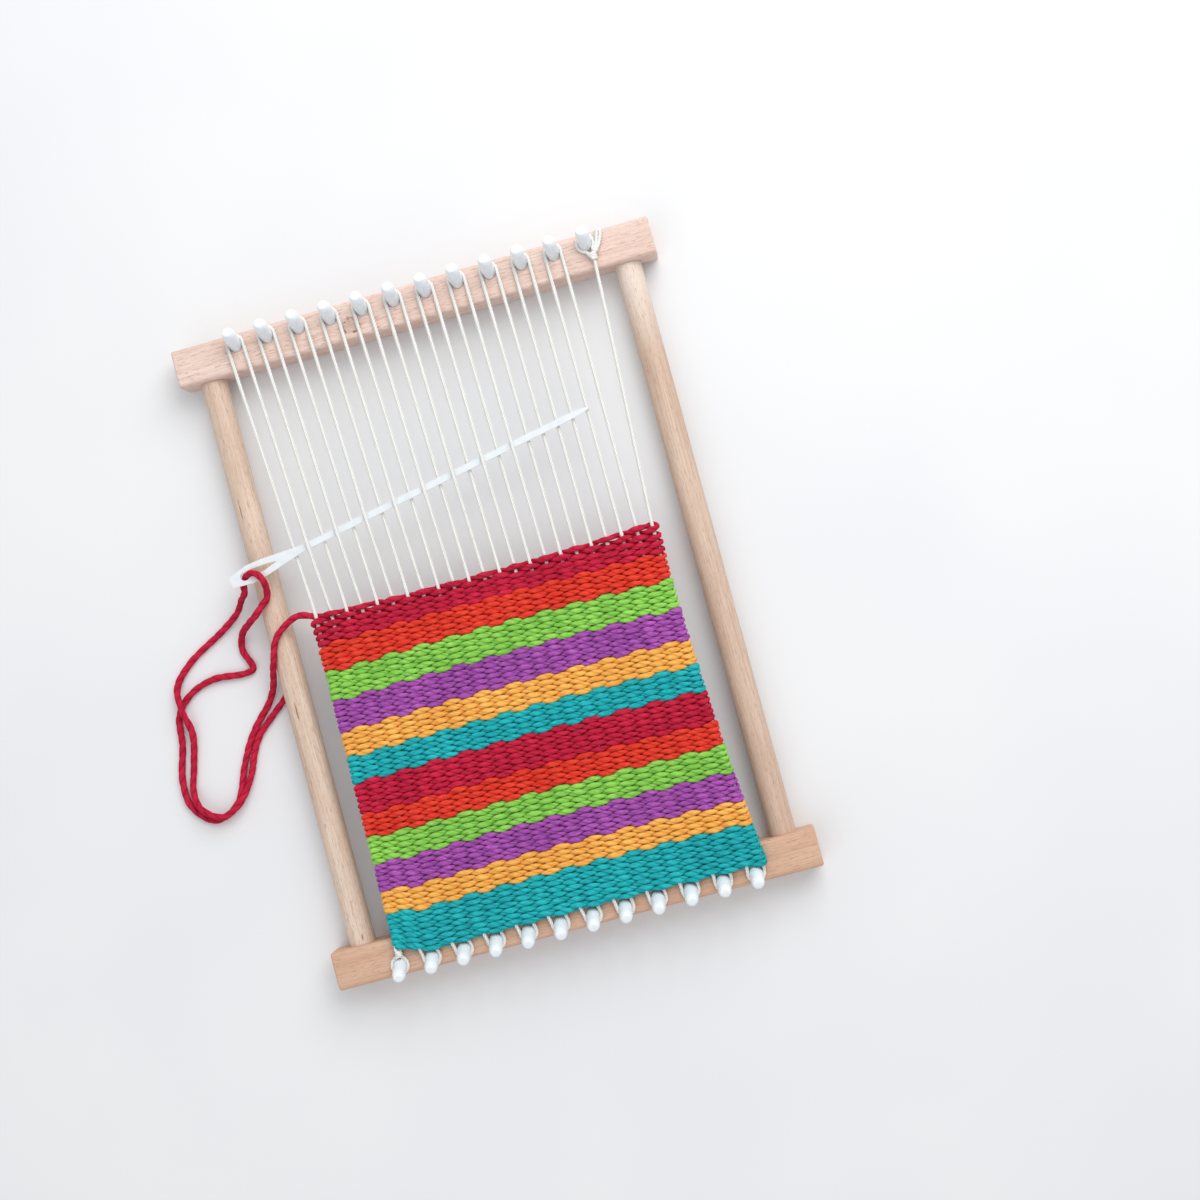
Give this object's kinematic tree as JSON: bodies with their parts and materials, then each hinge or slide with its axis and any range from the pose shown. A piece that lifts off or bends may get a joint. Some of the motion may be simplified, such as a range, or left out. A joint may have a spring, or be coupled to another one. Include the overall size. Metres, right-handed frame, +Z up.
{
  "type": "tapestry frame loom",
  "caption": "Wooden frame loom with leaning plastic pegs, cotton warp, a striped tapestry in progress and a flat needle with its working yarn.",
  "frame": {"origin": "middle of the bottom rail's underside, on the plane the loom rests on", "axes": "+X along the rails to the right, +Y along the posts from the bottom rail to the top rail, +Z up out of the weaving's face"},
  "size_m": [0.2766, 0.3025, 0.0289],
  "materials": {
    "beech_rail": "bare sanded beech, straight grain along the rail with short dark flecks",
    "beech_post": "bare sanded beech dowel, fine grain lines along the post",
    "peg_plastic": "white moulded plastic, smooth and slightly glossy",
    "needle_plastic": "translucent white moulded plastic",
    "cotton_string": "twisted white cotton string, matt",
    "wool_crimson": "soft twisted wool yarn, crimson, matt with a light fuzz",
    "wool_orange": "soft twisted wool yarn, orange, matt with a light fuzz",
    "wool_green": "soft twisted wool yarn, green, matt with a light fuzz",
    "wool_purple": "soft twisted wool yarn, purple, matt with a light fuzz",
    "wool_gold": "soft twisted wool yarn, gold, matt with a light fuzz",
    "wool_teal": "soft twisted wool yarn, teal, matt with a light fuzz"
  },
  "bodies": {
    "loom_frame": {"top_rail": "beech_rail", "bottom_rail": "beech_rail", "left_post": "beech_post", "right_post": "beech_post", "top_peg_01": "peg_plastic", "top_peg_02": "peg_plastic", "top_peg_03": "peg_plastic", "top_peg_04": "peg_plastic", "top_peg_05": "peg_plastic", "top_peg_06": "peg_plastic", "top_peg_07": "peg_plastic", "top_peg_08": "peg_plastic", "top_peg_09": "peg_plastic", "top_peg_10": "peg_plastic", "top_peg_11": "peg_plastic", "top_peg_12": "peg_plastic", "bottom_peg_01": "peg_plastic", "bottom_peg_02": "peg_plastic", "bottom_peg_03": "peg_plastic", "bottom_peg_04": "peg_plastic", "bottom_peg_05": "peg_plastic", "bottom_peg_06": "peg_plastic", "bottom_peg_07": "peg_plastic", "bottom_peg_08": "peg_plastic", "bottom_peg_09": "peg_plastic", "bottom_peg_10": "peg_plastic", "bottom_peg_11": "peg_plastic", "bottom_peg_12": "peg_plastic", "warp_string": "cotton_string", "weft_01_crimson": "wool_crimson", "weft_02_orange": "wool_orange", "weft_03_green": "wool_green", "weft_04_purple": "wool_purple", "weft_05_gold": "wool_gold", "weft_06_teal": "wool_teal", "weft_07_crimson": "wool_crimson", "weft_08_orange": "wool_orange", "weft_09_green": "wool_green", "weft_10_purple": "wool_purple", "weft_11_gold": "wool_gold", "weft_12_teal": "wool_teal", "working_yarn": "wool_crimson"},
    "needle": {"needle": "needle_plastic"}
  },
  "joints": [
    {"name": "needle_slide", "type": "slide", "parent": "loom_frame", "child": "needle", "axis": [0.9829, 0.184, 0], "range_m": [-0.155, 0.005], "deforming": ["working_yarn"]}
  ]
}
